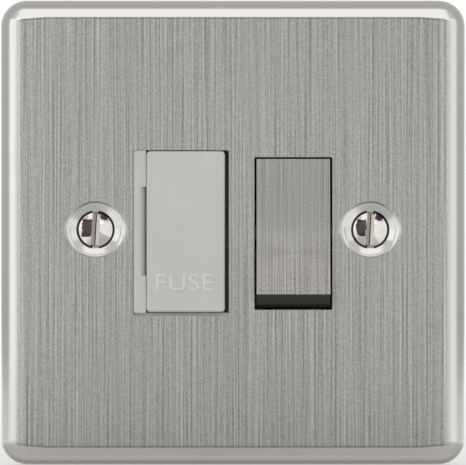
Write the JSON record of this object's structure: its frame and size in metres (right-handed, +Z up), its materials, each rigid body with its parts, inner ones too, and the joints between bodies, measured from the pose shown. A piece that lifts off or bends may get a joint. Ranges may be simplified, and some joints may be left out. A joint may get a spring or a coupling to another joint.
{
  "type": "fused spur unit",
  "caption": "Flush fused spur unit for a wall box: square brushed steel plate with rounded edges, hinged grey fuse carrier, steel-capped black rocker and slotted fixing screws.",
  "frame": {"origin": "centre of the plate on the wall surface", "axes": "+X to the right seen from the front, +Z up, +Y into the wall; the front faces -Y"},
  "size_m": [0.102, 0.0337, 0.102],
  "materials": {
    "plate_steel": "vertically brushed",
    "cap_steel": "vertically brushed",
    "screw_nickel": "polished nickel plate",
    "grey_moulding": "fine satin moulding",
    "rear_moulding": "fine satin moulding",
    "black_moulding": "satin moulding",
    "spring_steel": "drawn wire",
    "fuse_ceramic": "plain glazed",
    "cap_nickel": "bright plate",
    "small_screw_zinc": "zinc plate",
    "terminal_screw": "turned",
    "contact_silver": "satin silver",
    "contact_brass": "pressed strip"
  },
  "bodies": {
    "housing": {"base_moulding": "rear_moulding", "base_screw_bottom_left": "small_screw_zinc", "base_screw_bottom_right": "small_screw_zinc", "base_screw_top_left": "small_screw_zinc", "base_screw_top_right": "small_screw_zinc", "earth_strap": "contact_brass", "earth_terminal": "contact_brass", "fixed_rivet_live": "contact_silver", "fixed_rivet_neutral": "contact_silver", "fixing_screw_left": "screw_nickel", "fixing_screw_right": "screw_nickel", "front_moulding": "grey_moulding", "front_plate": "plate_steel", "fulcrum_live": "contact_brass", "fulcrum_neutral": "contact_brass", "fuse_contact_bottom": "contact_brass", "fuse_contact_top": "contact_brass", "live_link": "contact_brass", "load_strip_neutral": "contact_brass", "load_terminal_live": "contact_brass", "load_terminal_neutral": "contact_brass", "plate_screw_bottom_left": "small_screw_zinc", "plate_screw_bottom_right": "small_screw_zinc", "plate_screw_top_left": "small_screw_zinc", "plate_screw_top_right": "small_screw_zinc", "screw_earth_terminal_1": "terminal_screw", "screw_earth_terminal_2": "terminal_screw", "screw_load_terminal_live": "terminal_screw", "screw_load_terminal_neutral": "terminal_screw", "screw_supply_terminal_live": "terminal_screw", "screw_supply_terminal_neutral": "terminal_screw", "supply_strip_live": "contact_brass", "supply_strip_neutral": "contact_brass", "supply_terminal_live": "contact_brass", "supply_terminal_neutral": "contact_brass"},
    "rocker": {"plunger_live": "black_moulding", "plunger_neutral": "black_moulding", "plunger_spring_live": "spring_steel", "plunger_spring_neutral": "spring_steel", "rocker": "black_moulding", "rocker_cap": "cap_steel"},
    "live_arm": {"arm_rivet_live": "contact_silver", "contact_arm_live": "contact_brass"},
    "neutral_arm": {"arm_rivet_neutral": "contact_silver", "contact_arm_neutral": "contact_brass"},
    "carrier": {"fuse_body": "fuse_ceramic", "fuse_cap_bottom": "cap_nickel", "fuse_cap_top": "cap_nickel", "fuse_carrier": "grey_moulding"}
  },
  "joints": [
    {"name": "carrier_swing", "type": "hinge", "parent": "housing", "child": "carrier", "pos_m": [-0.0065, -0.0061, 0.00015], "axis": [0, 0, 1], "range_deg": [0, 75]},
    {"name": "rocker_tilt", "type": "hinge", "parent": "housing", "child": "rocker", "pos_m": [0.01325, -0.0013, -0.00025], "axis": [1, 0, 0], "range_deg": [0, 18]},
    {"name": "live_arm_rock", "type": "hinge", "parent": "housing", "child": "live_arm", "pos_m": [0.00925, 0.0076, -0.00025], "axis": [1, 0, 0], "range_deg": [-18, 0]},
    {"name": "neutral_arm_rock", "type": "hinge", "parent": "housing", "child": "neutral_arm", "pos_m": [0.01725, 0.0076, -0.00025], "axis": [1, 0, 0], "range_deg": [-18, 0]}
  ],
  "couplings": [
    {"joint": "live_arm_rock", "follows": "rocker_tilt", "ratio": -1},
    {"joint": "neutral_arm_rock", "follows": "rocker_tilt", "ratio": -1}
  ]
}
